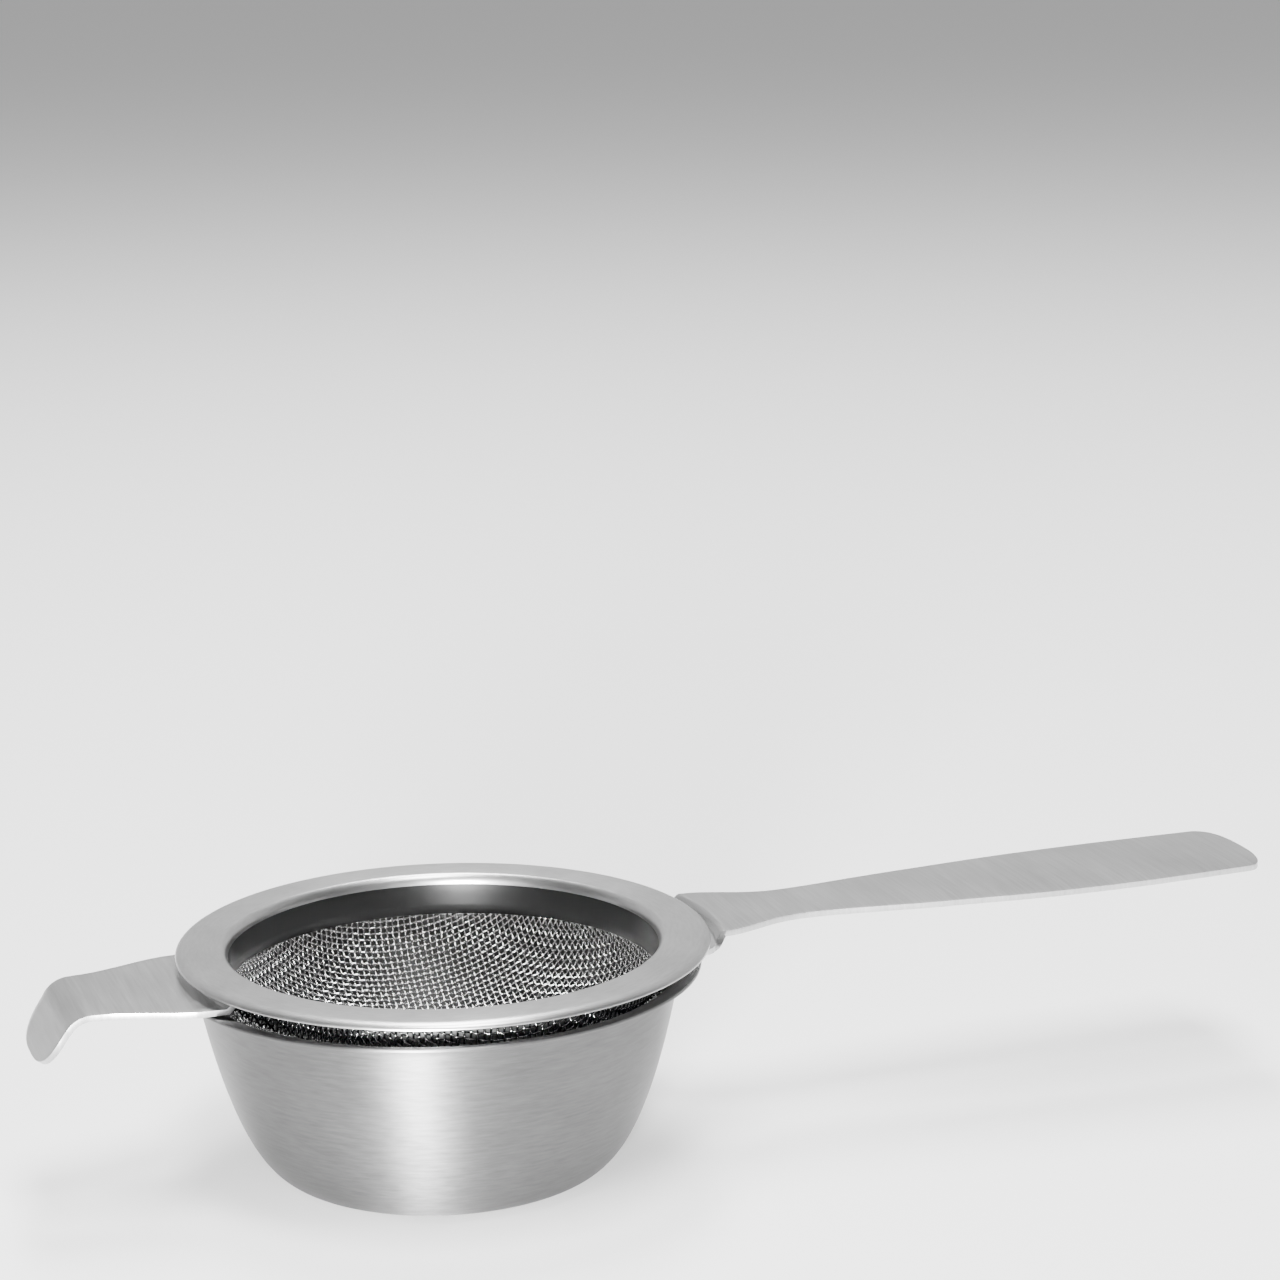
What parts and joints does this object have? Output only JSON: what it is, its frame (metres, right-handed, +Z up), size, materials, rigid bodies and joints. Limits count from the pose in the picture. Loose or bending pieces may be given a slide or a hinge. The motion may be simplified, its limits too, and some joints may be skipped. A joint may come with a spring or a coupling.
{
  "type": "tea strainer",
  "caption": "Long-handled steel tea strainer with a woven gauze basket and a hooked rest tab, seated on its open drip bowl.",
  "frame": {"origin": "middle of the drip bowl's base, on the table", "axes": "+Z up along the bowl's axis, +X along the handle towards its tip, the rest tab at -X"},
  "size_m": [0.176, 0.072, 0.0312],
  "materials": {
    "bowl_steel": "satin, brushed round the bowl",
    "flange_steel": "fine satin with a polished edge",
    "gauze_wire": "bright drawn wire",
    "plate_steel": "satin, brushed across the blade"
  },
  "bodies": {
    "drip_bowl": {"drip_bowl": "bowl_steel"},
    "strainer": {"rim_flange": "flange_steel", "gauze_basket": "gauze_wire", "clamp_ring": "flange_steel", "handle": "plate_steel", "rest_tab": "plate_steel"}
  },
  "joints": [
    {"name": "strainer_lift", "type": "slide", "parent": "drip_bowl", "child": "strainer", "axis": [0, 0, 1], "range_m": [0, 0.06]}
  ]
}
